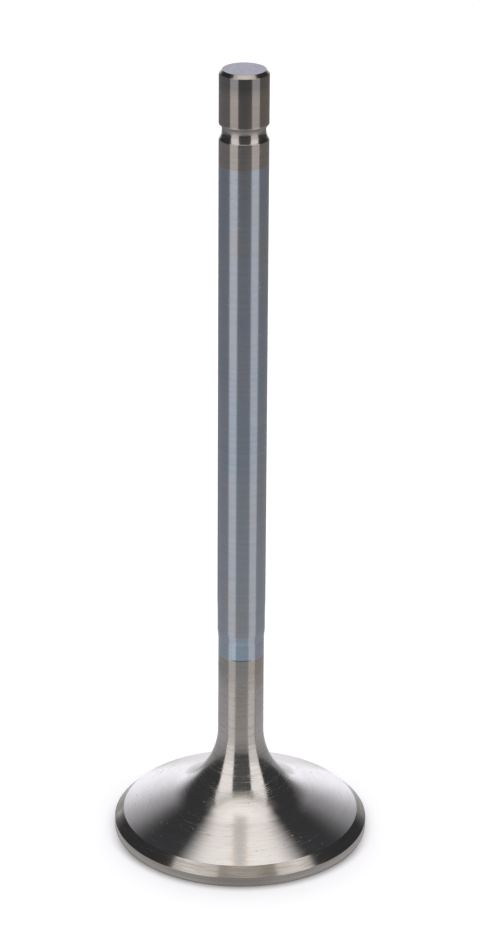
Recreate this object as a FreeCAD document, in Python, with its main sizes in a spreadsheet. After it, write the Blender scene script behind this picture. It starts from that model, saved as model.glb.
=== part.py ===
import FreeCAD, Part
import math
import os
import Sketcher

# Engine valve: a forged poppet valve, turned and ground all over from one piece.
# The origin is the centre of the flat head face and +Z runs up the stem to the tip.

# Driving sizes in millimetres, angles in degrees
SIZES = {
    "overall_length": 117.1,
    "stem_diameter": 6.97,
    "head_diameter": 37.4,
    "margin_height": 1.41,
    "face_edge_radius": 0.3,
    "seat_width": 1.32,
    "seat_angle": 45,
    "cone_angle": 22.3,
    "neck_radius": 11.5,
    "undercut_diameter": 6.73,
    "undercut_height": 31.2,
    "taper_length": 1.4,
    "tip_chamfer": 0.47,
    "keeper_setback": 8.44,
    "keeper_floor_diameter": 6.08,
    "keeper_upper_radius": 0.9,
    "keeper_lower_radius": 2.25,
    "keeper_edge_radius": 0.15,
    "cutter_overrun": 0.3,
}

# Fixed points that every sketch shares
ORIGIN = (-1, 1)
START = 1
END = 2
CENTRE = 3


def make_sheet(doc, sizes):
    """Put each driving size in a cell of its own, with its name as the alias."""
    sheet = doc.addObject("Spreadsheet::Sheet", "sizes")
    for row, (name, value) in enumerate(sizes.items(), start=1):
        sheet.set(f"A{row}", name)
        sheet.set(f"B{row}", str(value))
        sheet.setAlias(f"B{row}", name)
    return sheet


def add_sketch(body, name):
    """Attach an empty sketch to the body's own XZ plane, so that sketch X, Y are the part's X, Z."""
    sketch = body.newObject("Sketcher::SketchObject", name)
    plane = next(feature for feature in body.Origin.OriginFeatures if feature.Role == "XZ_Plane")
    sketch.AttachmentSupport = [(plane, "")]
    sketch.MapMode = "FlatFace"
    return sketch


def add_line(sketch, start, end):
    """Add a straight line between two (x, y) points and return its number."""
    return sketch.addGeometry(Part.LineSegment(FreeCAD.Vector(*start, 0), FreeCAD.Vector(*end, 0)))


def add_arc(sketch, centre, radius, first_degrees, last_degrees):
    """Add an arc that runs anticlockwise from the first angle to the last and return its number."""
    circle = Part.Circle(FreeCAD.Vector(*centre, 0), FreeCAD.Vector(0, 0, 1), radius)
    first = math.radians(first_degrees)
    last = math.radians(last_degrees)
    return sketch.addGeometry(Part.ArcOfCircle(circle, first, last))


def join(sketch, kind, first, second):
    """Tie two points, each a (line number, which end) pair, with a Coincident or Tangent constraint."""
    sketch.addConstraint(Sketcher.Constraint(kind, *first, *second))


def set_size(sketch, name, constraint, expression):
    """Add a named dimension and bind it to the sheet."""
    number = sketch.addConstraint(constraint)
    sketch.renameConstraint(number, name)
    sketch.setExpression(f"Constraints.{name}", expression)


def place_x(sketch, name, point, expression, guess):
    """Bind a point's distance from the axis of the valve."""
    set_size(sketch, name, Sketcher.Constraint("DistanceX", *ORIGIN, *point, guess), expression)


def place_y(sketch, name, point, expression, guess):
    """Bind a point's height above the head face."""
    set_size(sketch, name, Sketcher.Constraint("DistanceY", *ORIGIN, *point, guess), expression)


def draw_outline(body, sizes):
    """Half section of the blank: face, margin, seat, cone, neck, undercut, taper, stem and tip."""
    sketch = add_sketch(body, "outline")
    length = sizes["overall_length"]
    stem = sizes["stem_diameter"] / 2
    head = sizes["head_diameter"] / 2
    undercut = sizes["undercut_diameter"] / 2
    margin_top = sizes["margin_height"]
    seat_inner = head - sizes["seat_width"]
    seat_top = margin_top + sizes["seat_width"] * math.tan(math.radians(sizes["seat_angle"]))
    taper_bottom = sizes["undercut_height"]
    taper_top = taper_bottom + sizes["taper_length"]

    # First guess of the neck arc, which the tangent constraints then settle
    slope = math.radians(sizes["cone_angle"])
    bend = sizes["neck_radius"]
    bend_x = undercut + bend
    bend_y = seat_top + (bend - (bend_x - seat_inner) * math.sin(slope)) / math.cos(slope)
    cone_end = (bend_x - bend * math.sin(slope), bend_y - bend * math.cos(slope))

    axis = add_line(sketch, (0, length), (0, 0))
    face = add_line(sketch, (0, 0), (head, 0))
    margin = add_line(sketch, (head, 0), (head, margin_top))
    seat = add_line(sketch, (head, margin_top), (seat_inner, seat_top))
    cone = add_line(sketch, (seat_inner, seat_top), cone_end)
    neck = add_arc(sketch, (bend_x, bend_y), bend, 180, 270 - sizes["cone_angle"])
    waist = add_line(sketch, (undercut, bend_y), (undercut, taper_bottom))
    taper = add_line(sketch, (undercut, taper_bottom), (stem, taper_top))
    shank = add_line(sketch, (stem, taper_top), (stem, length))
    tip = add_line(sketch, (stem, length), (0, length))

    join(sketch, "Coincident", (axis, END), ORIGIN)
    join(sketch, "Coincident", (axis, END), (face, START))
    join(sketch, "Coincident", (face, END), (margin, START))
    join(sketch, "Coincident", (margin, END), (seat, START))
    join(sketch, "Coincident", (seat, END), (cone, START))
    join(sketch, "Tangent", (cone, END), (neck, END))
    join(sketch, "Tangent", (neck, START), (waist, START))
    join(sketch, "Coincident", (waist, END), (taper, START))
    join(sketch, "Coincident", (taper, END), (shank, START))
    join(sketch, "Coincident", (shank, END), (tip, START))
    join(sketch, "Coincident", (tip, END), (axis, START))
    for level in (face, tip):
        sketch.addConstraint(Sketcher.Constraint("Horizontal", level))
    for upright in (axis, margin, waist, shank):
        sketch.addConstraint(Sketcher.Constraint("Vertical", upright))

    place_x(sketch, "head", (margin, START), "sizes.head_diameter / 2", head)
    place_x(sketch, "undercut", (waist, END), "sizes.undercut_diameter / 2", undercut)
    place_x(sketch, "stem", (shank, END), "sizes.stem_diameter / 2", stem)
    place_y(sketch, "margin", (margin, END), "sizes.margin_height", margin_top)
    place_y(sketch, "taper_bottom", (taper, START), "sizes.undercut_height", taper_bottom)
    place_y(sketch, "taper_top", (taper, END), "sizes.undercut_height + sizes.taper_length", taper_top)
    place_y(sketch, "tip", (tip, START), "sizes.overall_length", length)
    place_x(sketch, "seat", (seat, END), "sizes.head_diameter / 2 - sizes.seat_width", seat_inner)
    seat_turn = Sketcher.Constraint("Angle", seat, math.radians(180 - sizes["seat_angle"]))
    set_size(sketch, "seat_turn", seat_turn, "180 deg - sizes.seat_angle * 1 deg")
    cone_turn = Sketcher.Constraint("Angle", cone, math.radians(180 - sizes["cone_angle"]))
    set_size(sketch, "cone_turn", cone_turn, "180 deg - sizes.cone_angle * 1 deg")
    set_size(sketch, "neck", Sketcher.Constraint("Radius", neck, bend), "sizes.neck_radius")
    return sketch


def draw_keeper_groove(body, sizes):
    """Section of the keeper groove: two arcs that meet at its floor, closed outside the stem."""
    sketch = add_sketch(body, "keeper_section")
    floor = sizes["keeper_floor_diameter"] / 2
    height = sizes["overall_length"] - sizes["keeper_setback"]
    outside = sizes["stem_diameter"] / 2 + sizes["cutter_overrun"]
    upper_radius = sizes["keeper_upper_radius"]
    lower_radius = sizes["keeper_lower_radius"]
    upper_span = math.degrees(math.acos(1 - (outside - floor) / upper_radius))
    lower_span = math.degrees(math.acos(1 - (outside - floor) / lower_radius))
    upper_rise = upper_radius * math.sin(math.radians(upper_span))
    lower_drop = lower_radius * math.sin(math.radians(lower_span))

    upper = add_arc(sketch, (floor + upper_radius, height), upper_radius, 180 - upper_span, 180)
    lower = add_arc(sketch, (floor + lower_radius, height), lower_radius, 180, 180 + lower_span)
    closing = add_line(sketch, (outside, height - lower_drop), (outside, height + upper_rise))

    join(sketch, "Tangent", (upper, END), (lower, START))
    join(sketch, "Coincident", (lower, END), (closing, START))
    join(sketch, "Coincident", (closing, END), (upper, START))
    sketch.addConstraint(Sketcher.Constraint("Vertical", closing))
    sketch.addConstraint(Sketcher.Constraint("Horizontal", upper, END, upper, CENTRE))

    place_x(sketch, "floor", (upper, END), "sizes.keeper_floor_diameter / 2", floor)
    place_y(sketch, "height", (upper, END), "sizes.overall_length - sizes.keeper_setback", height)
    reach = "sizes.stem_diameter / 2 + sizes.cutter_overrun"
    place_x(sketch, "outside", (closing, START), reach, outside)
    upper_size = Sketcher.Constraint("Radius", upper, upper_radius)
    set_size(sketch, "upper_radius", upper_size, "sizes.keeper_upper_radius")
    lower_size = Sketcher.Constraint("Radius", lower, lower_radius)
    set_size(sketch, "lower_radius", lower_size, "sizes.keeper_lower_radius")
    return sketch


def turn_about_axis(body, kind, name, sketch):
    """Sweep a section a full turn about the valve's axis, as added or as removed metal."""
    feature = body.newObject(kind, name)
    feature.Profile = sketch
    feature.ReferenceAxis = (sketch, ["V_Axis"])
    feature.Angle = 360
    return feature


def ring_edges(shape, radius, low, high):
    """Names of the shape's round edges of one radius whose centres lie between two heights."""
    names = []
    for number, edge in enumerate(shape.Edges, start=1):
        if not isinstance(edge.Curve, Part.Circle):
            continue
        if abs(edge.Curve.Radius - radius) < 1e-4 and low <= edge.Curve.Center.z <= high:
            names.append(f"Edge{number}")
    return names


def dress_edge(body, kind, name, base, edges, size_name, alias):
    """Break named edges of the feature before with a chamfer or a fillet of one size."""
    if not edges:
        raise RuntimeError(f"{name}: no edge found")
    feature = body.newObject(kind, name)
    feature.Base = (base, edges)
    feature.setExpression(size_name, f"sizes.{alias}")
    return feature


def build_valve(doc, sizes):
    """One body: the turned blank, its keeper groove, the tip's chamfer and the broken edges."""
    body = doc.addObject("PartDesign::Body", "valve")
    body.Label = "valve"
    body.Placement = FreeCAD.Placement()
    stem = sizes["stem_diameter"] / 2
    head = sizes["head_diameter"] / 2
    length = sizes["overall_length"]
    keeper = length - sizes["keeper_setback"]
    reach = sizes["keeper_upper_radius"] + sizes["keeper_lower_radius"]
    volumes = []

    def settle(feature):
        doc.recompute()
        volumes.append(feature.Shape.Volume)
        return feature

    outline = draw_outline(body, sizes)
    blank = settle(turn_about_axis(body, "PartDesign::Revolution", "blank", outline))
    section = draw_keeper_groove(body, sizes)
    grooved = settle(turn_about_axis(body, "PartDesign::Groove", "keeper_groove", section))
    tip_edge = ring_edges(grooved.Shape, stem, length - 0.01, length + 0.01)
    tipped = settle(
        dress_edge(body, "PartDesign::Chamfer", "tip_chamfer", grooved, tip_edge, "Size", "tip_chamfer"))
    lips = ring_edges(tipped.Shape, stem, keeper - reach, keeper + reach)
    eased = settle(
        dress_edge(body, "PartDesign::Fillet", "keeper_lips", tipped, lips, "Radius", "keeper_edge_radius"))
    rim = ring_edges(eased.Shape, head, -0.01, 0.01)
    settle(
        dress_edge(body, "PartDesign::Fillet", "face_edge", eased, rim, "Radius", "face_edge_radius"))

    for sketch in (outline, section):
        if not sketch.FullyConstrained:
            raise RuntimeError(f"{sketch.Name} is not fully constrained")
    if any(later >= earlier for earlier, later in zip(volumes, volumes[1:])):
        raise RuntimeError(f"a cut removed nothing: {volumes}")
    print("volumes after each step, mm3:", [round(volume, 2) for volume in volumes])
    return body


def check_document(doc, bodies):
    """Stop if any object failed or any sub-part has no valid closed shape."""
    for item in doc.Objects:
        if "Invalid" in item.State or "Error" in item.State:
            raise RuntimeError(f"{item.Name} failed: {item.State}")
    for body in bodies:
        shape = body.Shape
        if shape.isNull() or not shape.isValid() or len(shape.Solids) != 1:
            raise RuntimeError(f"{body.Label} is not one valid solid")


def main():
    doc = FreeCAD.newDocument("engine_valve")
    make_sheet(doc, SIZES)
    doc.recompute()
    bodies = [build_valve(doc, SIZES)]
    doc.recompute()
    check_document(doc, bodies)
    os.makedirs("parts", exist_ok=True)
    for body in bodies:
        body.Shape.exportStep(os.path.join("parts", f"{body.Label}.step"))
        box = body.Shape.BoundBox
        print(body.Label, "box mm:", round(box.XLength, 3), round(box.YLength, 3), round(box.ZLength, 3))


main()
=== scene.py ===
import math
import bmesh
import bpy
from mathutils import Matrix, Vector


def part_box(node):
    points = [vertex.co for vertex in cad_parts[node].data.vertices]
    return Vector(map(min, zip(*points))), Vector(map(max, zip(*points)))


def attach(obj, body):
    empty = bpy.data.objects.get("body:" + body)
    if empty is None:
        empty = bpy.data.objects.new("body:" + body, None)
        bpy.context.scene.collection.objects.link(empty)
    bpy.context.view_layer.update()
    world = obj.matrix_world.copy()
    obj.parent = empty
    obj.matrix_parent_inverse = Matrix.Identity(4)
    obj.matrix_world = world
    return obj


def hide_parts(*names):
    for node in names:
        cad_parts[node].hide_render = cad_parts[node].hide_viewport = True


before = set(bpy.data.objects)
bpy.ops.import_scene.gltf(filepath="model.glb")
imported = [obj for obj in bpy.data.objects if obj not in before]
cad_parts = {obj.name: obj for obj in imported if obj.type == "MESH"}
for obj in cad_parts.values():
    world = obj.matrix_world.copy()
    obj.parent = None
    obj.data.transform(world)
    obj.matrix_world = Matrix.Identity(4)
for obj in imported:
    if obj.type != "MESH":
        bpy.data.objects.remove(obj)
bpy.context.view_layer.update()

# Engine valve on a white ground: the finishes of its machined surfaces and the light tent round it.
# The valve stands on its head face at the origin, with its stem along +Z.

VALVE_LOW, VALVE_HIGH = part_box("valve")

# One millimetre in metres
MM = 0.001

# Sizes of the valve in millimetres, angles in degrees. The length and the head come from the frame.
LENGTH = (VALVE_HIGH.z - VALVE_LOW.z) / MM
HEAD_RADIUS = VALVE_HIGH.x / MM
STEM_RADIUS = 3.485
WAIST_RADIUS = 3.365
MARGIN_HEIGHT = 1.41
FACE_EDGE = 0.3
SEAT_WIDTH = 1.32
SEAT_ANGLE = 45
CONE_ANGLE = 22.3
NECK_RADIUS = 11.5
TAPER_BOTTOM = 31.2
TAPER_LENGTH = 1.4
GROOVE_SETBACK = 8.44
GROOVE_FLOOR = 3.04
GROOVE_UPPER_BEND = 0.9
GROOVE_LOWER_BEND = 2.25
GROOVE_LIP = 0.15
GROOVE_LIP_FACING = 46
TIP_CHAMFER = 0.47
CHAMFER_FACING = 45

# Corners left by a cutting tool are dulled by this much, and gentle bends by the second
BURR_BREAK = 0.05
SOFT_BREAK = 0.3

# The plated stretch of the stem
PLATING_BOTTOM = 28.6
PLATING_TOP = 103.7

# Facets round the valve, and the most that an arc turns between two points
FACETS = 360
ARC_STEP = 2.5

# How much rougher a scuff and a speck are than the metal round them
SCUFF_ROUGHNESS = 0.22
SPECK_ROUGHNESS = 0.35

# The camera of the photograph, fitted to the outline of the valve: pixels, mm and degrees
PHOTO_HEIGHT = 950
FOCAL_PIXELS = 3346.24
CAMERA_PLACE = (0, -436.3, 251.42)
CAMERA_PITCH = 24.0332
CAMERA_YAW = -0.0392
CAMERA_ROLL = 0.3063
SENSOR = 36

# How near and how far the camera sees, in metres
CAMERA_CLIP = (0.01, 10)


def tone(code):
    """An sRGB hex colour as linear red, green, blue and alpha."""
    parts = [int(code[i:i + 2], 16) / 255 for i in (1, 3, 5)]
    linear = [p / 12.92 if p <= 0.04045 else ((p + 0.055) / 1.055) ** 2.4 for p in parts]
    return (*linear, 1.0)


def add_node(tree, kind, inputs=None, output=0, **settings):
    """Add a node, set it up, give its inputs a value each or a link, and return one of its outputs."""
    node = tree.nodes.new(kind)
    for name, value in settings.items():
        setattr(node, name, value)
    for key, value in (inputs or {}).items():
        if isinstance(value, bpy.types.NodeSocket):
            tree.links.new(value, node.inputs[key])
        else:
            node.inputs[key].default_value = value
    return node.outputs[output] if node.outputs else None


def link_to(obj):
    """Put an object in the scene."""
    bpy.context.scene.collection.objects.link(obj)
    return obj


# Outline of the valve

def facing(degrees):
    """The direction (outward, upward) of a surface that faces this many degrees above level."""
    return Vector((math.cos(math.radians(degrees)), math.sin(math.radians(degrees))))


def arc(centre, radius, first, last):
    """Points of a round stretch as (place, facing) pairs. A falling angle makes a hollow one."""
    side = 1 if last > first else -1
    steps = max(3, math.ceil(abs(last - first) / ARC_STEP))
    angles = [first + (last - first) * step / steps for step in range(steps + 1)]
    return [(Vector(centre) + side * radius * facing(angle), facing(angle)) for angle in angles]


def eased(corner, first, last, radius):
    """A corner between two straight stretches, rounded to a radius."""
    side = 1 if last > first else -1
    before, after = facing(first), facing(last)
    inward = (before + after) / (1 + before.dot(after))
    return arc(Vector(corner) - side * radius * inward, radius, first, last)


def groove(height):
    """The keeper groove: a lip, two bends that meet at the floor, and the other lip."""
    points = []
    lip_line = STEM_RADIUS - GROOVE_LIP
    for bend, side in ((GROOVE_LOWER_BEND, -1), (GROOVE_UPPER_BEND, 1)):
        out = GROOVE_FLOOR + bend - lip_line
        rise = math.sqrt((bend + GROOVE_LIP) ** 2 - out ** 2)
        turn = -side * math.degrees(math.atan2(rise, out))
        lip = arc((lip_line, height + side * rise), GROOVE_LIP, *sorted((0, turn)))
        hollow = arc((GROOVE_FLOOR + bend, height), bend, max(0, turn), min(0, turn))
        if side < 0:
            # The tool left this lip turned up a little, so that it catches the light
            lip[-1] = (lip[-1][0], facing(GROOVE_LIP_FACING))
        points += lip + hollow[1:] if side < 0 else hollow[1:] + lip[1:]
    return points


def straight(radius, height, degrees=0):
    """One point on a straight stretch."""
    return [(Vector((radius, height)), facing(degrees))]


def outline():
    """Half section from the head face to the tip, as (finish, points) stretches in order."""
    seat_inner = HEAD_RADIUS - SEAT_WIDTH
    seat_top = MARGIN_HEIGHT + SEAT_WIDTH * math.tan(math.radians(SEAT_ANGLE))
    seat_facing = 90 - SEAT_ANGLE
    cone_facing = 90 - CONE_ANGLE
    neck_height = seat_top + (seat_inner - WAIST_RADIUS) * math.tan(math.radians(CONE_ANGLE))
    taper_top = TAPER_BOTTOM + TAPER_LENGTH
    taper_facing = -math.degrees(math.atan2(STEM_RADIUS - WAIST_RADIUS, TAPER_LENGTH))
    return [
        ("rim", straight(0, 0, -90)),
        ("rim", arc((HEAD_RADIUS - FACE_EDGE, FACE_EDGE), FACE_EDGE, -90, 0)),
        ("seat", eased((HEAD_RADIUS, MARGIN_HEIGHT), 0, seat_facing, BURR_BREAK)),
        ("cone", eased((seat_inner, seat_top), seat_facing, cone_facing, BURR_BREAK)),
        ("cone", eased((WAIST_RADIUS, neck_height), cone_facing, 0, NECK_RADIUS)),
        ("plating", straight(WAIST_RADIUS, PLATING_BOTTOM)),
        ("plating", eased((WAIST_RADIUS, TAPER_BOTTOM), 0, taper_facing, SOFT_BREAK)),
        ("plating", eased((STEM_RADIUS, taper_top), taper_facing, 0, SOFT_BREAK)),
        ("stem_end", straight(STEM_RADIUS, PLATING_TOP)),
        ("stem_end", groove(LENGTH - GROOVE_SETBACK)),
        ("stem_end", eased((STEM_RADIUS, LENGTH - TIP_CHAMFER), 0, CHAMFER_FACING, BURR_BREAK)),
        ("tip_face", eased((STEM_RADIUS - TIP_CHAMFER, LENGTH), CHAMFER_FACING, 90, BURR_BREAK)),
        ("tip_face", straight(0, LENGTH, 90)),
    ]


def turn_valve(finishes):
    """Turn the outline about the axis into one closed mesh, with the true facing at every point."""
    mesh = bpy.data.meshes.new("valve_turned")
    for material in finishes.values():
        mesh.materials.append(material)
    order = list(finishes)
    shape = bmesh.new()
    facings = []
    last_ring = None
    for finish, points in outline():
        for (radius, height), (out, up) in points:
            on_axis = radius == 0
            ring = []
            for facet in range(1 if on_axis else FACETS):
                turn = math.tau * facet / FACETS
                across, along = math.cos(turn), math.sin(turn)
                ring.append(shape.verts.new((radius * across * MM, radius * along * MM, height * MM)))
                facings.append((out * across, out * along, up))
            if last_ring is not None:
                facets = max(len(ring), len(last_ring))
                for facet in range(facets):
                    after = (facet + 1) % facets
                    corners = [last_ring[facet % len(last_ring)], last_ring[after % len(last_ring)]]
                    corners += [ring[after % len(ring)], ring[facet % len(ring)]]
                    face = shape.faces.new(dict.fromkeys(corners))
                    face.material_index = order.index(last_finish)
                    face.smooth = True
            last_ring = ring
            last_finish = finish
    shape.to_mesh(mesh)
    shape.free()
    mesh.normals_split_custom_set_from_vertices(facings)
    return link_to(bpy.data.objects.new("valve_turned", mesh))


# Masks and colours, for the finishes and the tent

def combined(tree, *values):
    """Masks or strengths combined: their product."""
    total = values[0]
    for value in values[1:]:
        total = add_node(tree, "ShaderNodeMath", {0: total, 1: value}, operation="MULTIPLY")
    return total


def soft_edge(middle, width):
    """Where a soft edge starts and ends."""
    return middle - width / 2, middle + width / 2


def between(tree, place, rise=None, fall=None, low=0, high=1):
    """A mask along a place, such as the height in mm, that rises over one stretch and falls over another.

    A stretch is (start, end), and either may be left out. low and high, for one stretch only, are what
    the mask is outside and inside."""
    masks = []
    for stretch, before, after in ((rise, low, high), (fall, high, low)):
        if stretch:
            inputs = {0: place, 1: stretch[0], 2: stretch[1], 3: before, 4: after}
            masks.append(add_node(tree, "ShaderNodeMapRange", inputs, interpolation_type="SMOOTHSTEP"))
    return combined(tree, *masks)


def coated(tree, colour, *coats):
    """A colour with coats over it in order, each a mask, a colour and perhaps a way to blend."""
    for mask, coat, *blend in coats:
        colour = add_node(
            tree, "ShaderNodeMix", {0: mask, 6: colour, 7: coat}, 2,
            data_type="RGBA", blend_type=blend[0] if blend else "MIX")
    return colour


# Finishes

def lathe_places(tree):
    """Sockets that follow the valve as its makers did: round it, along its outline, and its height."""
    place = add_node(tree, "ShaderNodeTexCoord", output="Object")
    scaled = add_node(tree, "ShaderNodeVectorMath", {0: place, "Scale": 1 / MM}, operation="SCALE")
    parts = add_node(tree, "ShaderNodeSeparateXYZ", {0: scaled}).node.outputs
    flat = add_node(tree, "ShaderNodeCombineXYZ", {"X": parts["X"], "Y": parts["Y"]})
    around = add_node(tree, "ShaderNodeVectorMath", {0: flat}, operation="NORMALIZE")
    radius = add_node(tree, "ShaderNodeVectorMath", {0: flat}, "Value", operation="LENGTH")
    height = parts["Z"]
    travel = add_node(tree, "ShaderNodeMath", {0: height, 1: radius}, operation="SUBTRACT")
    return around, travel, height


def turned_noise(tree, around, travel, per_turn, spacing, detail=2.0, roughness=0.5):
    """Noise of about 0 to 1 that repeats per_turn times round the valve and every spacing mm along it."""
    wide = add_node(
        tree, "ShaderNodeVectorMath", {0: around, "Scale": per_turn / math.tau}, operation="SCALE")
    long = add_node(tree, "ShaderNodeMath", {0: travel, 1: 1 / spacing}, operation="MULTIPLY")
    rise = add_node(tree, "ShaderNodeCombineXYZ", {"Z": long})
    where = add_node(tree, "ShaderNodeVectorMath", {0: wide, 1: rise}, operation="ADD")
    return add_node(
        tree, "ShaderNodeTexNoise",
        {"Vector": where, "Scale": 1.0, "Detail": detail, "Roughness": roughness})


def patches(tree, around, travel, per_turn, spacing, rise=(0.35, 0.65), detail=2.0, roughness=0.5):
    """A mask of soft patches, where the noise of turned_noise is high."""
    noise = turned_noise(tree, around, travel, per_turn, spacing, detail, roughness)
    return between(tree, noise, rise)


def one_side(tree, around, azimuth, inner, outer):
    """1 to within inner degrees of an azimuth of the valve, and 0 past outer degrees."""
    turn = math.radians(azimuth)
    middle = (math.sin(turn), -math.cos(turn), 0)
    nearness = add_node(
        tree, "ShaderNodeVectorMath", {0: around, 1: middle}, "Value", operation="DOT_PRODUCT")
    return between(tree, nearness, (math.cos(math.radians(outer)), math.cos(math.radians(inner))))


def scuffs(tree, around, travel, share):
    """Short fine scratches that run round the valve and gather in places, on about a share of it."""
    strokes = patches(tree, around, travel, 30, 0.2, (0.6, 0.72), 1.0)
    places = patches(tree, around, travel, 7, 5, (0.6 - share, 0.7), 1.0)
    return combined(tree, strokes, places)


def specks(tree, around, travel, share):
    """Tiny nicks from handling, where the metal has lost its polish. They gather in places."""
    nicks = patches(tree, around, travel, 170, 0.5, (0.72, 0.82), 0.0)
    places = patches(tree, around, travel, 5, 6, (0.65 - share, 0.7), 1.0)
    return combined(tree, nicks, places)


def metal(name, colour, rough, lines, line_depth, waves, wave_depth, grain, worn, contrast, rougher=None):
    """A turned or ground metal. colour(tree, around, travel, height) gives its colour.

    lines and waves are (per turn, spacing in mm) of the fine tool lines and of the slower waviness,
    each with its depth in mm, grain is how far the lines draw out a highlight, worn is the share with
    scuffs, contrast is how much darker the tool lines get, and rougher, called like colour, gives the
    places where the metal is rougher, each a mask and by how much.

    A pixel of the photograph is about 0.14 mm, so that real tool lines are too fine to show. Every
    finish draws them coarser than they are, and their real spacing isn't measured."""
    material = bpy.data.materials.new(name)
    material.use_nodes = True
    tree = material.node_tree
    tree.nodes.clear()
    around, travel, height = lathe_places(tree)
    fine = turned_noise(tree, around, travel, *lines, 3.0, 0.6)
    slow = turned_noise(tree, around, travel, *waves)
    roughness = between(tree, fine, (0.25, 0.75), low=rough * 0.8, high=rough * 1.2)
    dulled = list(rougher(tree, around, travel, height)) if rougher else []
    if worn:
        dulled.append((scuffs(tree, around, travel, worn), SCUFF_ROUGHNESS))
        dulled.append((specks(tree, around, travel, worn), SPECK_ROUGHNESS))
    for where, added in dulled:
        roughness = add_node(
            tree, "ShaderNodeMath", {0: where, 1: added, 2: roughness}, operation="MULTIPLY_ADD")
    shade = between(tree, fine, (0.35, 0.65), high=contrast)
    streaked = coated(tree, colour(tree, around, travel, height), (shade, tone("#000000")))
    waved = add_node(
        tree, "ShaderNodeBump", {"Strength": 1.0, "Distance": wave_depth * MM, "Height": slow})
    lined = add_node(
        tree, "ShaderNodeBump",
        {"Strength": 1.0, "Distance": line_depth * MM, "Height": fine, "Normal": waved})
    # The tool went round the axis, so that a highlight is drawn out along the stem
    tangent = add_node(tree, "ShaderNodeTangent", direction_type="RADIAL", axis="Z")
    shader = add_node(tree, "ShaderNodeBsdfPrincipled", {
        "Base Color": streaked,
        "Metallic": 1.0,
        "Roughness": roughness,
        "Anisotropic": grain,
        "Anisotropic Rotation": 0.25,
        "Tangent": tangent,
        "Normal": lined,
    })
    add_node(tree, "ShaderNodeOutputMaterial", {"Surface": shader})
    return material


def turned_steel():
    """Valve steel turned on a lathe: fine rings round the head and neck, warm grey."""
    def colour(tree, around, travel, height):
        # Dulled and browned by heat just under the plating, more so on one side
        under_plating = between(tree, height, (PLATING_BOTTOM - 6.5, PLATING_BOTTOM - 1.5))
        heated = coated(tree, tone("#b4b0ad"), (one_side(tree, around, 72, 25, 62), tone("#bcb0a5")))
        # Painted shade: the front of the neck, toward the camera, is darker and browner
        front = combined(
            tree, between(tree, height, soft_edge(12.5, 3), soft_edge(24.5, 3)),
            one_side(tree, around, 0, 9, 22))
        # A brownish run down the front of the head, paler below its upper end: it also paints a part of the
        # stem's reflection there, on top of the mirrored one
        run_and_painted_reflection = coated(tree, tone("#d2cac0"), (between(tree, height, (5.5, 6)), tone("#bab3aa")))
        return coated(
            tree, tone("#ccc8c4"),
            (patches(tree, around, travel, 5, 9), tone("#c8c4c0")),
            # Lighter next to the seat, below 3 to 5 mm
            (between(tree, height, fall=(3, 5)), tone("#d0cdc9")),
            (under_plating, heated),
            # Painted shade down the front of the neck
            (front, tone("#eee9e4"), "MULTIPLY"),
            (combined(tree, rings(tree, around, travel, height), 0.16), tone("#a0968d")),
            # The run, with its painted part of the stem's reflection
            (run(tree, around, height, 8), run_and_painted_reflection))

    def rings(tree, around, travel, height):
        # Coarse turning marks on the neck, deeper than the rest
        marks = patches(tree, around, travel, 4, 0.36, (0.45, 0.65), 3.0, 0.7)
        neck = between(tree, height, soft_edge(7, 3), soft_edge(PLATING_BOTTOM, 3))
        return combined(tree, marks, neck)

    def run(tree, around, height, reach):
        # Down the front, to within reach degrees of the middle
        length = between(tree, height, soft_edge(1.5, 1), soft_edge(6.35, 1))
        return combined(tree, length, one_side(tree, around, 0, 0, reach))

    def rougher(tree, around, travel, height):
        # The run is roughest at its upper end
        smear = between(tree, height, (5, 5.9), low=0.03, high=0.1)
        return (rings(tree, around, travel, height), 0.18), (run(tree, around, height, 14), smear)

    # The feed is assumed to be about 0.05 mm a turn: the rings are drawn coarser, so that they show
    return metal(
        "turned_steel", colour, rough=0.1, lines=(20, 0.42), line_depth=0.0032, waves=(24, 1.1),
        wave_depth=0.005, grain=0.5, worn=0.28, contrast=0.045, rougher=rougher)


def ground_rim_steel():
    """The margin and the head face, ground plain: a soft sheen, with faint lines round it."""
    def colour(tree, around, travel, height):
        return coated(tree, tone("#c9c3bb"), (patches(tree, around, travel, 9, 2), tone("#c2bcb4")))

    # Grinding lines are finer still: drawn coarser, so that they show
    return metal(
        "ground_rim_steel", colour, rough=0.17, lines=(6, 0.25), line_depth=0.0006, waves=(20, 1.0),
        wave_depth=0.001, grain=0.3, worn=0.1, contrast=0.15)


def ground_seat_steel():
    """The seat face, ground to 45 degrees for a gas-tight fit: finer, in short bright and dull strokes."""
    def colour(tree, around, travel, height):
        return coated(tree, tone("#c4bfb8"), (patches(tree, around, travel, 40, 0.5), tone("#bdb8b1")))

    return metal(
        "ground_seat_steel", colour, rough=0.13, lines=(30, 0.3), line_depth=0.0006, waves=(20, 1.0),
        wave_depth=0.001, grain=0.2, worn=0.1, contrast=0.2)


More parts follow.
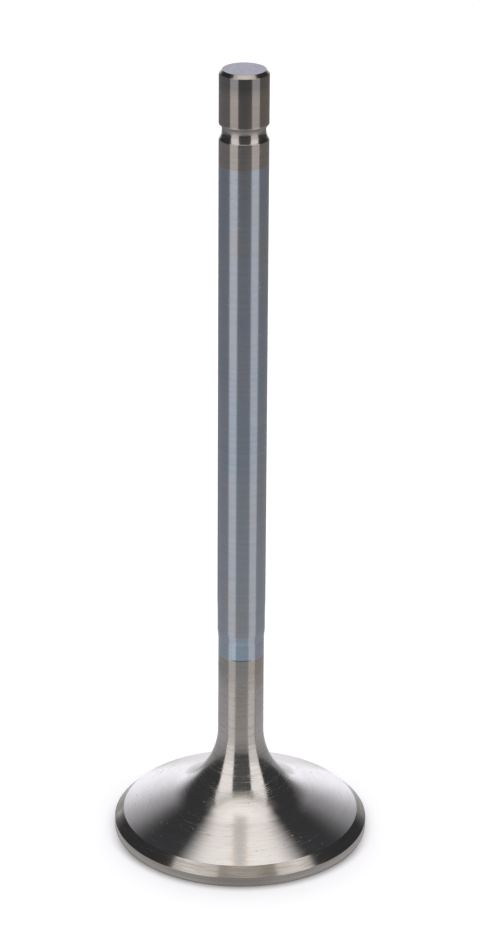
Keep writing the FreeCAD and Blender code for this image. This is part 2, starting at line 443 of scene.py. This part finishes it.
def hard_chrome():
    """Hard chrome plating ground to size: blue grey, with faint streaks along the stem."""
    def colour(tree, around, travel, height):
        # A thin film on the chrome turns it bluer in places and browner in others
        film = turned_noise(tree, around, travel, 4, 12)
        # The lower end is bluer, and lilac on one side
        lower_end = between(tree, height, fall=(PLATING_BOTTOM, PLATING_BOTTOM + 6))
        end = coated(tree, tone("#b5c3cf"), (one_side(tree, around, 70, 30, 60), tone("#bbbecc")))
        # The bath left a blue patch at the front of the lower end, and a dark line where it stopped
        patch = combined(
            tree,
            between(tree, height, soft_edge(PLATING_BOTTOM, 1.2), soft_edge(PLATING_BOTTOM + 3.2, 1.2)),
            one_side(tree, around, -2, 3, 24))
        line = combined(
            tree, between(tree, height, fall=soft_edge(PLATING_BOTTOM + 0.2, 0.15)),
            one_side(tree, around, 0, 16, 30))
        return coated(
            tree, tone("#b5bdc9"),
            (patches(tree, around, travel, 12, 45), tone("#b7bcc6")),
            (between(tree, film, fall=(0.3, 0.5)), tone("#bbbbbf")),
            (between(tree, film, (0.5, 0.7)), tone("#adbac8")),
            (lower_end, end),
            (patch, tone("#b8cddf")),
            (line, tone("#7c8a93")))

    return metal(
        "hard_chrome", colour, rough=0.17, lines=(3, 0.4), line_depth=0.0002, waves=(10, 6.0),
        wave_depth=0.001, grain=0.3, worn=0.05, contrast=0.05)


def ground_stem_steel():
    """Bare hardened steel at the end of the stem: ground, slightly brown."""
    floor = LENGTH - GROOVE_SETBACK
    chamfer = LENGTH - TIP_CHAMFER

    def colour(tree, around, travel, height):
        # The land above the groove is a little darker, and blued toward the tip but not on the chamfer
        land = between(tree, height, (floor + 0.8, floor + 1.3))
        blued = between(tree, height, (LENGTH - 3.2, LENGTH - 1.6), (chamfer - 0.08, chamfer))
        return coated(
            tree, tone("#b8b1ac"),
            (patches(tree, around, travel, 7, 3), tone("#b5b0ab")),
            (one_side(tree, around, 75, 20, 42), tone("#bdb0a2")),
            (land, tone("#f2f0ef"), "MULTIPLY"),
            (upper_groove(tree, height), tone("#bfbab6")),
            (blued, tone("#e0e6ec"), "MULTIPLY"))

    def upper_groove(tree, height):
        return between(tree, height, soft_edge(floor - 0.1, 0.12), soft_edge(floor + 1, 0.12))

    def rougher(tree, around, travel, height):
        # The upper half of the groove is left as cut, the lower half is cut finer, the rest is ground
        lower_groove = between(tree, height, soft_edge(floor - 1.3, 0.12), soft_edge(floor - 0.1, 0.12))
        return (upper_groove(tree, height), 0.32), (lower_groove, 0.05)

    return metal(
        "ground_stem_steel", colour, rough=0.11, lines=(3, 0.3), line_depth=0.0003, waves=(10, 3.0),
        wave_depth=0.001, grain=0.3, worn=0.08, contrast=0.08, rougher=rougher)


def lapped_tip_steel():
    """The hardened tip, lapped flat: smooth and faintly lilac."""
    def colour(tree, around, travel, height):
        return coated(tree, tone("#95959e"), (patches(tree, around, travel, 4, 1), tone("#9998a0")))

    return metal(
        "lapped_tip_steel", colour, rough=0.25, lines=(8, 0.5), line_depth=0.0001, waves=(6, 2.0),
        wave_depth=0.001, grain=0.0, worn=0.0, contrast=0.02)


# Light tent: each panel is a stretch of the surroundings, seen from the valve. Azimuth 0 is toward the
# camera and 90 to its right, elevation 0 is level, and strength 1 is white.
# (name, azimuth, lean, half width, edge, lowest, highest, edge, strength, colour): the lean is how far
# the panel's middle moves round for each degree above its lowest
PANELS = (
    ("ground all round", 0, 0, 200, 1, -90, -12, 8, 0.32, "#f0f0f4"),
    ("ground close", 0, 0, 200, 1, -90, -40, 8, 0.42, "#f0f0f4"),
    ("horizon haze", 0, 0, 200, 1, -2, 5, 6, 0.1, "#f0f0f4"),
    ("front gloom", 4, 0, 42, 30, 1, 90, 10, 0.13, "#eef0f2"),
    ("front haze", 4, 0, 90, 60, 54, 90, 16, 0.5, "#fff6ec"),
    ("backdrop wings", 181, 0, 37, 22, -8, 38, 18, 0.4, "#f2f2fa"),
    ("backdrop", 175.9, 0.06, 27, 22, -90, 22, 40, 1.5, "#f2f2fc"),
    ("backdrop low", 181.5, 0, 27, 22, -90, -9, 10, 1.35, "#f2f2fc"),
    ("backdrop foot", 182, 0, 46, 10, -90, -14.5, 4, 0.28, "#f2f2f6"),
    ("left panel wing", -55, -0.5, 10, 6, 26, 63, 6, 0.95, "#fffcfc"),
    ("left panel foot", -46.5, 0, 19.5, 5, -46, 63, 6, 0.78, "#fffcfc"),
    ("left panel", -46.5, 0, 19.5, 5, -16, 58, 4, 1.0, "#fffcfc"),
    ("left panel heart", -46.5, 0, 19.5, 5, 8, 52, 10, 1.29, "#fffcfc"),
    ("right panel wing", 63.5, 0.3, 10, 6, 20, 63, 6, 0.95, "#fffcfc"),
    ("right panel foot", 55.5, 0, 19, 5, -46, 63, 6, 0.73, "#fffcfc"),
    ("right panel", 55.5, 0, 19, 5, -16, 58, 4, 0.93, "#fffcfc"),
    ("right panel heart", 55.5, 0, 19, 5, 10, 52, 10, 1.29, "#fffcfc"),
    ("right panel corner", 38.5, 0, 5.5, 4, 50, 66, 8, 0.42, "#fff6ec"),
)

# The dark of the room between the panels: colour and strength
GLOOM = ("#e9eef8", 0.064)

# The round panel overhead: its colour, its strength at the edge and in the middle, how far it leans
# right and back as a slope, and its half width and edge in degrees
OVERHEAD = ("#fffcfb", 1.26, 1.45)
OVERHEAD_LEAN = (0.022, -0.025)
OVERHEAD_SPREAD = 26.4
OVERHEAD_EDGE = 12

# In the reflections that panel has a flatter edge on the left and on the right: the azimuths between
# which the flat starts, those between which it ends, and how deep it is, as a cosine
OVERHEAD_FLATS = ((98, 116), (122, 140), 0.0178)

# The stretch of the backdrop that metal and glass see as the white background: azimuth, lean, half
# width, edge, lowest, highest, edge
BACKGROUND_SEEN = (181.5, 0, 27, 22, -14, 5, 4)


def tent_direction(tree):
    """The direction that a ray leaves in, and its azimuth and elevation in degrees."""
    direction = add_node(tree, "ShaderNodeTexCoord", output="Generated")
    parts = add_node(tree, "ShaderNodeSeparateXYZ", {0: direction}).node.outputs
    forward = add_node(tree, "ShaderNodeMath", {0: parts["Y"], 1: -1.0}, operation="MULTIPLY")
    azimuth = add_node(tree, "ShaderNodeMath", {0: parts["X"], 1: forward}, operation="ARCTAN2")
    elevation = add_node(tree, "ShaderNodeMath", {0: parts["Z"]}, operation="ARCSINE")
    degrees = [
        add_node(tree, "ShaderNodeMath", {0: angle}, operation="DEGREES") for angle in (azimuth, elevation)]
    return direction, *degrees


def panel_mask(tree, azimuth, elevation, middle, lean, half, side_edge, low, high, end_edge):
    """1 inside a panel of the tent and 0 outside, with soft edges."""
    upright = add_node(
        tree, "ShaderNodeMath", {0: elevation, 1: -lean, 2: azimuth}, operation="MULTIPLY_ADD")
    offset = add_node(tree, "ShaderNodeMath", {0: upright, 1: middle - lean * low}, operation="SUBTRACT")
    wrapped = add_node(tree, "ShaderNodeMath", {0: offset, 1: 180.0, 2: -180.0}, operation="WRAP")
    away = add_node(tree, "ShaderNodeMath", {0: wrapped}, operation="ABSOLUTE")
    across = between(tree, away, fall=soft_edge(half, side_edge))
    upward = between(tree, elevation, soft_edge(low, end_edge), soft_edge(high, end_edge))
    return combined(tree, across, upward)


def lit(code, strength):
    """The linear colour of a panel of the tent."""
    red, green, blue, alpha = tone(code)
    return (red * strength, green * strength, blue * strength, alpha)


def overhead_panel(tree, direction, azimuth):
    """The round panel's mask and its colour, brighter toward its middle."""
    middle = Vector((*OVERHEAD_LEAN, 1)).normalized()
    nearness = add_node(
        tree, "ShaderNodeVectorMath", {0: direction, 1: tuple(middle)}, "Value", operation="DOT_PRODUCT")
    inner, outer = [math.cos(math.radians(angle)) for angle in soft_edge(OVERHEAD_SPREAD, OVERHEAD_EDGE)]
    starts, ends, depth = OVERHEAD_FLATS
    from_front = add_node(tree, "ShaderNodeMath", {0: azimuth}, operation="ABSOLUTE")
    flat = between(tree, from_front, starts, ends)
    reach = add_node(tree, "ShaderNodeMath", {0: flat, 1: -depth, 2: nearness}, operation="MULTIPLY_ADD")
    code, at_edge, in_middle = OVERHEAD
    colour = coated(
        tree, lit(code, at_edge), (between(tree, nearness, (inner, 1)), lit(code, in_middle)))
    return between(tree, reach, (outer, inner)), colour


def hang_tent():
    """The world is the light tent, and plain white to the camera."""
    world = bpy.data.worlds.new("light_tent")
    world.use_nodes = True
    tree = world.node_tree
    tree.nodes.clear()
    direction, azimuth, elevation = tent_direction(tree)
    panels = []
    for name, *place, strength, code in PANELS:
        mask = panel_mask(tree, azimuth, elevation, *place)
        mask.node.label = name
        panels.append((mask, lit(code, strength)))
    panels.append(overhead_panel(tree, direction, azimuth))

    # The background is white to the camera, and where metal or glass shows it, it is no darker
    rays = add_node(tree, "ShaderNodeLightPath").node.outputs
    mirrored = add_node(
        tree, "ShaderNodeMath", {0: rays["Is Glossy Ray"], 1: rays["Is Transmission Ray"]}, operation="ADD")
    behind = panel_mask(tree, azimuth, elevation, *BACKGROUND_SEEN)
    white = add_node(
        tree, "ShaderNodeMath", {0: mirrored, 1: behind, 2: rays["Is Camera Ray"]},
        operation="MULTIPLY_ADD", use_clamp=True)
    seen = coated(tree, lit(*GLOOM), *panels, (white, tone("#ffffff"), "LIGHTEN"))
    tent = add_node(tree, "ShaderNodeBackground", {"Color": seen, "Strength": 1.0})
    add_node(tree, "ShaderNodeOutputWorld", {"Surface": tent})
    bpy.context.scene.world = world


# Ground: half its width in metres, and its colour in the open, and its painted shade beside the head and
# where that touches it
FLOOR_REACH = 1.6
OPEN_GROUND = "#f3f3f4"
PAINTED_SHADE_BESIDE = "#e8e8ea"
PAINTED_SHADOW_TOUCHING = "#b2b1b2"

# The lamp that lights the ground: strength, and angles in degrees
GROUND_LAMP = 2.27
GROUND_LAMP_SPREAD = 140
GROUND_LAMP_TILT = 22

# The table top as the metal sees it, in pieces: azimuth from and to in degrees, distance from and to
# in mm. The gaps between the far pieces are where the lit panels and the backdrop show.
TABLE_NEAR = (HEAD_RADIUS + 0.2, HEAD_RADIUS + 5.5)
TABLE_PIECES = ((0, 360, *TABLE_NEAR), (152, 216, TABLE_NEAR[1], 75), (-26, 35, TABLE_NEAR[1], 900),
                (76, 152, TABLE_NEAR[1], 760), (216, 293, TABLE_NEAR[1], 760))
TABLE_DROP = 0.05
TABLE_TONE = "#fbfbff"

# How bright the table top is beside the head and, at 1 mm from the axis, further off, and the power of
# the distance by which that fades
NEAR_TABLE_GLOW = 0.48
FAR_TABLE_GLOW = 1.336
FAR_TABLE_FADING = -0.29


def emitting(name, colour, strength):
    """A material that only gives light. strength(tree) gives how much."""
    material = bpy.data.materials.new(name)
    material.use_nodes = True
    material.cycles.emission_sampling = "NONE"
    tree = material.node_tree
    tree.nodes.clear()
    shader = add_node(tree, "ShaderNodeEmission", {"Color": colour, "Strength": strength(tree)})
    add_node(tree, "ShaderNodeOutputMaterial", {"Surface": shader})
    return material


def table_places(tree):
    """Distance from the valve's axis in mm, and how far right and how far back, as shares of it."""
    place = add_node(tree, "ShaderNodeTexCoord", output="Object")
    away = add_node(tree, "ShaderNodeVectorMath", {0: place}, "Value", operation="LENGTH")
    onward = add_node(tree, "ShaderNodeVectorMath", {0: place}, operation="NORMALIZE")
    parts = add_node(tree, "ShaderNodeSeparateXYZ", {0: onward}).node.outputs
    distance = add_node(tree, "ShaderNodeMath", {0: away, 1: 1 / MM}, operation="MULTIPLY")
    return distance, parts["X"], parts["Y"]


def lay_floor():
    """White ground that takes the valve's shadow, deepened by painted shade beside the head. The metal sees
    the tent and the table top instead.
    """
    mesh = bpy.data.meshes.new("ground")
    reach = FLOOR_REACH
    mesh.from_pydata([(-reach, -reach, 0), (reach, -reach, 0), (reach, reach, 0), (-reach, reach, 0)],
                     [], [(0, 1, 2, 3)])
    material = bpy.data.materials.new("white_ground")
    material.use_nodes = True
    tree = material.node_tree
    shader = tree.nodes["Principled BSDF"]
    shader.inputs["Roughness"].default_value = 1.0
    shader.inputs["Specular IOR Level"].default_value = 0.0
    # Painted shade: the ground's colour is darker beside the head, more so in front of it, and darkest in
    # front where the head touches it
    distance, _, back = table_places(tree)
    beside = combined(
        tree, between(tree, distance, fall=(HEAD_RADIUS, HEAD_RADIUS + 12)),
        between(tree, back, fall=(-0.7, 0.1), low=0.5))
    painted_contact_shadow = combined(
        tree, between(tree, distance, fall=(HEAD_RADIUS - 0.2, HEAD_RADIUS + 1.6)),
        between(tree, back, fall=(-0.6, -0.15)))
    shaded = coated(
        tree, tone(OPEN_GROUND), (beside, tone(PAINTED_SHADE_BESIDE)), (painted_contact_shadow, tone(PAINTED_SHADOW_TOUCHING)))
    tree.links.new(shaded, shader.inputs["Base Color"])
    mesh.materials.append(material)
    floor = link_to(bpy.data.objects.new("ground", mesh))
    floor.visible_glossy = False
    floor.visible_shadow = False
    return floor


def near_table(tree):
    """Beside the head: brighter toward the panels and the backdrop."""
    distance, right, back = table_places(tree)
    side = add_node(tree, "ShaderNodeMath", {0: right}, operation="ABSOLUTE")
    contact = between(tree, distance, fall=(HEAD_RADIUS, HEAD_RADIUS + 2.5), low=1, high=1.15)
    panels = between(tree, side, (0.1, 0.4), low=0.75, high=0.97)
    backdrop = between(tree, back, (0.2, 0.9), low=1, high=1.5)
    return combined(tree, contact, panels, backdrop, NEAR_TABLE_GLOW)


def far_table(tree):
    """Further off: darker with distance, lighter behind the valve, and darkest toward the camera."""
    distance, _, back = table_places(tree)
    fading = add_node(tree, "ShaderNodeMath", {0: distance, 1: FAR_TABLE_FADING}, operation="POWER")
    toward_camera = combined(tree, distance, back, -1.0)
    gloom = between(tree, toward_camera, fall=(285, 350), low=0.6)
    open_table = combined(tree, fading, gloom, FAR_TABLE_GLOW)
    behind = between(tree, back, (0.86, 0.98))
    lit_table = between(tree, distance, (HEAD_RADIUS, 70), low=0.9, high=1.38)
    return add_node(tree, "ShaderNodeMix", {"Factor": behind, "A": open_table, "B": lit_table})


def lay_table_top():
    """The table as the metal sees it: a ring round the head, and sectors further off."""
    mesh = bpy.data.meshes.new("table_top")
    shape = bmesh.new()
    for first, last, near, far in TABLE_PIECES:
        rows = []
        for reach in (near, far):
            turns = [math.radians(turn) for turn in range(first, last + 1)]
            places = [Vector((math.sin(turn), -math.cos(turn), 0)) * reach for turn in turns]
            rows.append([shape.verts.new((place - Vector((0, 0, TABLE_DROP))) * MM) for place in places])
        inner, outer = rows
        for step in range(last - first):
            face = shape.faces.new((inner[step], outer[step], outer[step + 1], inner[step + 1]))
            face.material_index = 0 if near == TABLE_NEAR[0] else 1
    shape.to_mesh(mesh)
    shape.free()
    mesh.materials.append(emitting("table_beside_head", tone(TABLE_TONE), near_table))
    mesh.materials.append(emitting("table_further_off", tone(TABLE_TONE), far_table))
    table = link_to(bpy.data.objects.new("table_top", mesh))
    table.visible_camera = False
    table.visible_diffuse = False


def light_floor(floor):
    """A soft lamp above and behind the valve that lights only the ground, so that it is white beside
    the valve and shaded in front of it."""
    lamp = bpy.data.lights.new("ground_lamp", "SUN")
    lamp.energy = GROUND_LAMP
    lamp.angle = math.radians(GROUND_LAMP_SPREAD)
    sun = link_to(bpy.data.objects.new("ground_lamp", lamp))
    sun.rotation_euler.x = -math.radians(GROUND_LAMP_TILT)
    lit_by_it = bpy.data.collections.new("ground_only")
    lit_by_it.objects.link(floor)
    sun.light_linking.receiver_collection = lit_by_it


def place_camera():
    """The photograph's camera: where it stood, how it was turned, and its lens."""
    pitch, yaw, roll = (math.radians(a) for a in (CAMERA_PITCH, CAMERA_YAW, CAMERA_ROLL))
    ahead = Vector((math.sin(yaw) * math.cos(pitch), math.cos(yaw) * math.cos(pitch), -math.sin(pitch)))
    level = Vector((math.cos(yaw), -math.sin(yaw), 0))
    upright = level.cross(ahead)
    right = math.cos(roll) * level + math.sin(roll) * upright
    up = -math.sin(roll) * level + math.cos(roll) * upright
    data = bpy.data.cameras.new("photo_camera")
    data.sensor_width = SENSOR
    data.lens = FOCAL_PIXELS / PHOTO_HEIGHT * SENSOR
    data.clip_start, data.clip_end = CAMERA_CLIP
    camera = link_to(bpy.data.objects.new("photo_camera", data))
    turn = Matrix((right, up, -ahead)).transposed().to_4x4()
    camera.matrix_world = Matrix.Translation(Vector(CAMERA_PLACE) * MM) @ turn
    bpy.context.scene.camera = camera


def build():
    """The camera, the valve with its finishes, the tent and the ground."""
    place_camera()
    valve = turn_valve({
        "rim": ground_rim_steel(),
        "seat": ground_seat_steel(),
        "cone": turned_steel(),
        "plating": hard_chrome(),
        "stem_end": ground_stem_steel(),
        "tip_face": lapped_tip_steel(),
    })
    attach(valve, "root")
    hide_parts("valve")
    hang_tent()
    floor = lay_floor()
    lay_table_top()
    light_floor(floor)
    bpy.context.scene.view_settings.view_transform = "Standard"


build()
